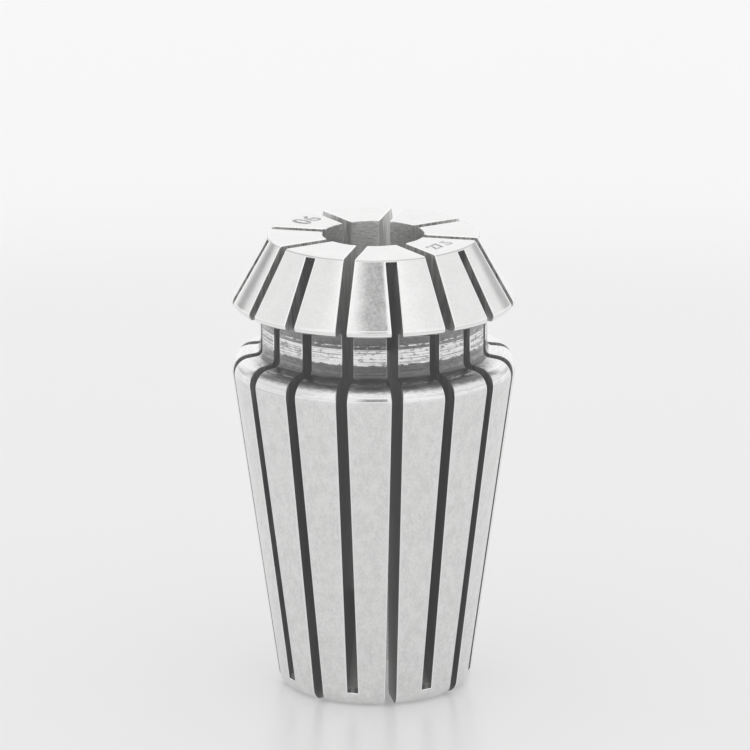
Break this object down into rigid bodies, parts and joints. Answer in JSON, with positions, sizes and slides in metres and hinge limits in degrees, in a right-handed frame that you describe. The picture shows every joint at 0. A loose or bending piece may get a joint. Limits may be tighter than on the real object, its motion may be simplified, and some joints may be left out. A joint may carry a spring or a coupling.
{
  "type": "spring collet",
  "caption": "Slotted steel spring collet with a rear taper, a nose cone, a groove for the clamping nut and a through bore that grips a tool shank.",
  "frame": {"origin": "on the bore axis, at the centre of the rear face that the collet stands on", "axes": "+Z along the bore axis, towards the front face; the slots sawn from the rear end lie on X, Y and the diagonals between them, and those sawn from the front end lie halfway between"},
  "size_m": [0.0168, 0.0168, 0.0275],
  "materials": {
    "collet": "hardened spring steel, ground on the taper and the nose and turned in the groove"
  },
  "bodies": {
    "root": {"collet": "collet"}
  },
  "joints": []
}
